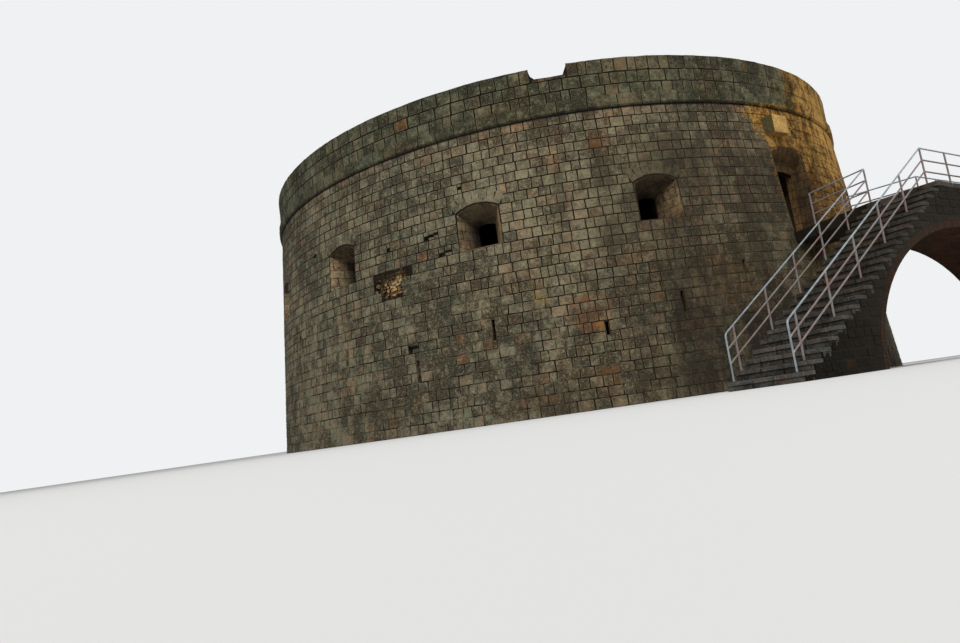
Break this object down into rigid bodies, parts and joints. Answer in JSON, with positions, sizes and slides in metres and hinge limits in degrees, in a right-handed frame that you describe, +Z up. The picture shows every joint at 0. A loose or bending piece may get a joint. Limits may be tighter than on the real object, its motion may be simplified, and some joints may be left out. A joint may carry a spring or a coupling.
{
  "type": "round stone gun tower fort with a high entrance and an outside stair",
  "caption": "Round battered stone fort with arched embrasures, loopholes, a string course and parapet, and a high door reached by a stair on an arch and a short bridge.",
  "frame": {"origin": "on the tower's axis at ground level, on the underside of the ground floor", "axes": "+Z up, -Y out through the door, +X to the right of someone facing the door, the way the stair rises"},
  "size_m": [26.3548, 30.5768, 10.8],
  "materials": {
    "wall_ashlar": "rough",
    "parapet_stone": "rough",
    "string_stone": "rough",
    "tablet_stone": "rough",
    "arch_brick": "rough",
    "tread_stone": "rough",
    "stair_rubble": "rough",
    "bridge_stone": "rough",
    "floor_stone": "rough",
    "roof_stone": "rough",
    "pier_stone": "rough",
    "rail_steel": "satin"
  },
  "bodies": {
    "root": {"bridge_railing_left": "rail_steel", "bridge_railing_right": "rail_steel", "bridge_slab": "bridge_stone", "end_pier": "stair_rubble", "entrance_base": "wall_ashlar", "entrance_head": "wall_ashlar", "entrance_left": "wall_ashlar", "entrance_right": "wall_ashlar", "entrance_tablet": "tablet_stone", "ground_floor": "floor_stone", "landing_railing_end": "rail_steel", "landing_railing_inner": "rail_steel", "landing_railing_outer": "rail_steel", "landing_slab": "tread_stone", "lower_pier": "pier_stone", "main_floor": "floor_stone", "parapet_1": "parapet_stone", "parapet_2": "parapet_stone", "parapet_3": "parapet_stone", "parapet_4": "parapet_stone", "roof_terrace": "roof_stone", "stair_arch": "arch_brick", "stair_base": "stair_rubble", "stair_railing_inner": "rail_steel", "stair_railing_outer": "rail_steel", "stair_spandrels": "stair_rubble", "stair_treads": "tread_stone", "string_course_1": "string_stone", "string_course_2": "string_stone", "string_course_3": "string_stone", "string_course_4": "string_stone", "upper_pier": "pier_stone", "wall_bay_02": "wall_ashlar", "wall_bay_03": "wall_ashlar", "wall_bay_04": "wall_ashlar", "wall_bay_05": "wall_ashlar", "wall_bay_06": "wall_ashlar", "wall_bay_07": "wall_ashlar", "wall_bay_08": "wall_ashlar", "wall_bay_09": "wall_ashlar", "wall_bay_10": "wall_ashlar", "wall_bay_11": "wall_ashlar", "wall_bay_12": "wall_ashlar", "wall_bay_13": "wall_ashlar", "wall_bay_14": "wall_ashlar"}
  },
  "joints": []
}
